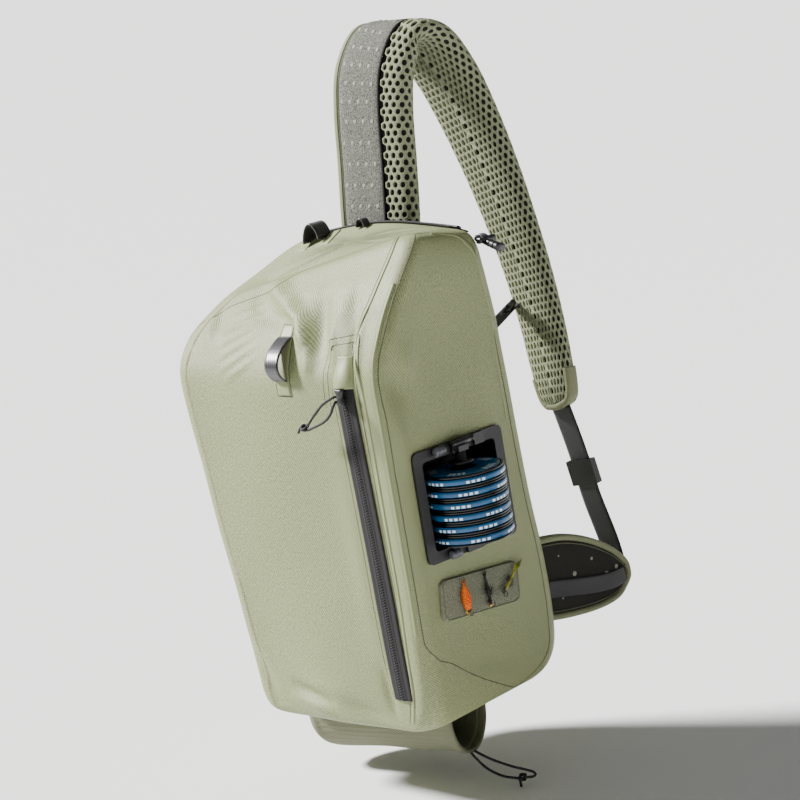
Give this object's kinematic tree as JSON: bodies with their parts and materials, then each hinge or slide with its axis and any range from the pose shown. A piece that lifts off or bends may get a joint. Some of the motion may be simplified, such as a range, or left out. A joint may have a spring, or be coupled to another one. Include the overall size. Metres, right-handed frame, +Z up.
{
  "type": "fishing tackle sling bag",
  "caption": "Soft one-shoulder fishing bag with a padded strap over its top, a tray of line spools and a fly patch on its side, and a flask sleeve below.",
  "frame": {"origin": "the inside of the strap's crown, where the bag hangs on a shoulder", "axes": "+X to the bag's right side with the spool tray, +Y from the front to the wearer's back, +Z up"},
  "size_m": [0.3426, 0.3001, 0.6948],
  "materials": {
    "cloth": "matt coated cloth, pale grey green, fine ripstop weave",
    "zip": "matt dark grey coated zip tape and teeth",
    "moulded": "matt black moulded plastic",
    "webbing": "woven dark grey webbing",
    "cord": "braided dark cord",
    "spool": "black moulded plastic",
    "band": "blue elastic band, slight sheen",
    "barrel": "grey satin plastic",
    "pile": "dense grey green pile",
    "fly_foam": "orange foam and fur",
    "fly_thread": "black thread and fur",
    "fly_olive": "olive fur with grey hackle",
    "mesh": "open grey green spacer mesh",
    "knit": "heather grey knit with small pale dots",
    "binding": "smooth folded cloth binding, grey green",
    "sleeve_knit": "ribbed stretch knit, grey green"
  },
  "bodies": {
    "bag": {"body_shell": "cloth", "main_zip_tape": "zip", "main_zip_teeth": "zip", "main_zip_pull": "moulded", "pocket_zip_tape": "zip", "pocket_zip_teeth": "zip", "zip_hood": "cloth", "pocket_zip_slider": "moulded", "pocket_pull_upper": "cord", "pocket_pull_lower": "cord", "pocket_pull_knot": "cord", "front_loop_patch": "cloth", "front_loop": "webbing", "top_loop_tab_left": "cloth", "top_loop_tab_right": "cloth", "top_loop": "webbing", "spool_tray": "moulded", "spool_post": "moulded", "post_bracket_upper": "moulded", "post_bracket_lower": "moulded", "post_toggle": "moulded", "barrel_upper": "barrel", "barrel_lower": "barrel", "tray_tab": "moulded", "fly_patch": "pile", "fly_1": "fly_foam", "fly_2": "fly_thread", "fly_3": "fly_olive", "strap_pad": "mesh", "strap_face": "knit", "strap_piping": "binding", "strap_end_binding": "binding", "wing_pad": "binding", "wing_face": "knit", "wing_webbing": "webbing", "lower_webbing": "webbing", "webbing_slider": "moulded", "stabilizer_strap": "webbing", "stabilizer_buckle": "moulded", "bottle_sleeve": "sleeve_knit", "sleeve_hem": "binding", "sleeve_cord_upper": "cord", "sleeve_cord_lower": "cord", "sleeve_cord_knot": "cord"},
    "line_spool_1": {"spool_1": "spool", "band_1": "band"},
    "line_spool_2": {"spool_2": "spool", "band_2": "band"},
    "line_spool_3": {"spool_3": "spool", "band_3": "band"},
    "line_spool_4": {"spool_4": "spool", "band_4": "band"},
    "line_spool_5": {"spool_5": "spool", "band_5": "band"},
    "line_spool_6": {"spool_6": "spool", "band_6": "band"}
  },
  "joints": [
    {"name": "spool_turn_1", "type": "hinge", "parent": "bag", "child": "line_spool_1", "pos_m": [0.14279, -0.13477, -0.42337], "axis": [0, 0, 1], "continuous": true},
    {"name": "spool_turn_2", "type": "hinge", "parent": "bag", "child": "line_spool_2", "pos_m": [0.14279, -0.13477, -0.41277], "axis": [0, 0, 1], "continuous": true},
    {"name": "spool_turn_3", "type": "hinge", "parent": "bag", "child": "line_spool_3", "pos_m": [0.14279, -0.13477, -0.40217], "axis": [0, 0, 1], "continuous": true},
    {"name": "spool_turn_4", "type": "hinge", "parent": "bag", "child": "line_spool_4", "pos_m": [0.14279, -0.13477, -0.39157], "axis": [0, 0, 1], "continuous": true},
    {"name": "spool_turn_5", "type": "hinge", "parent": "bag", "child": "line_spool_5", "pos_m": [0.14279, -0.13477, -0.38097], "axis": [0, 0, 1], "continuous": true},
    {"name": "spool_turn_6", "type": "hinge", "parent": "bag", "child": "line_spool_6", "pos_m": [0.14279, -0.13477, -0.37037], "axis": [0, 0, 1], "continuous": true}
  ]
}
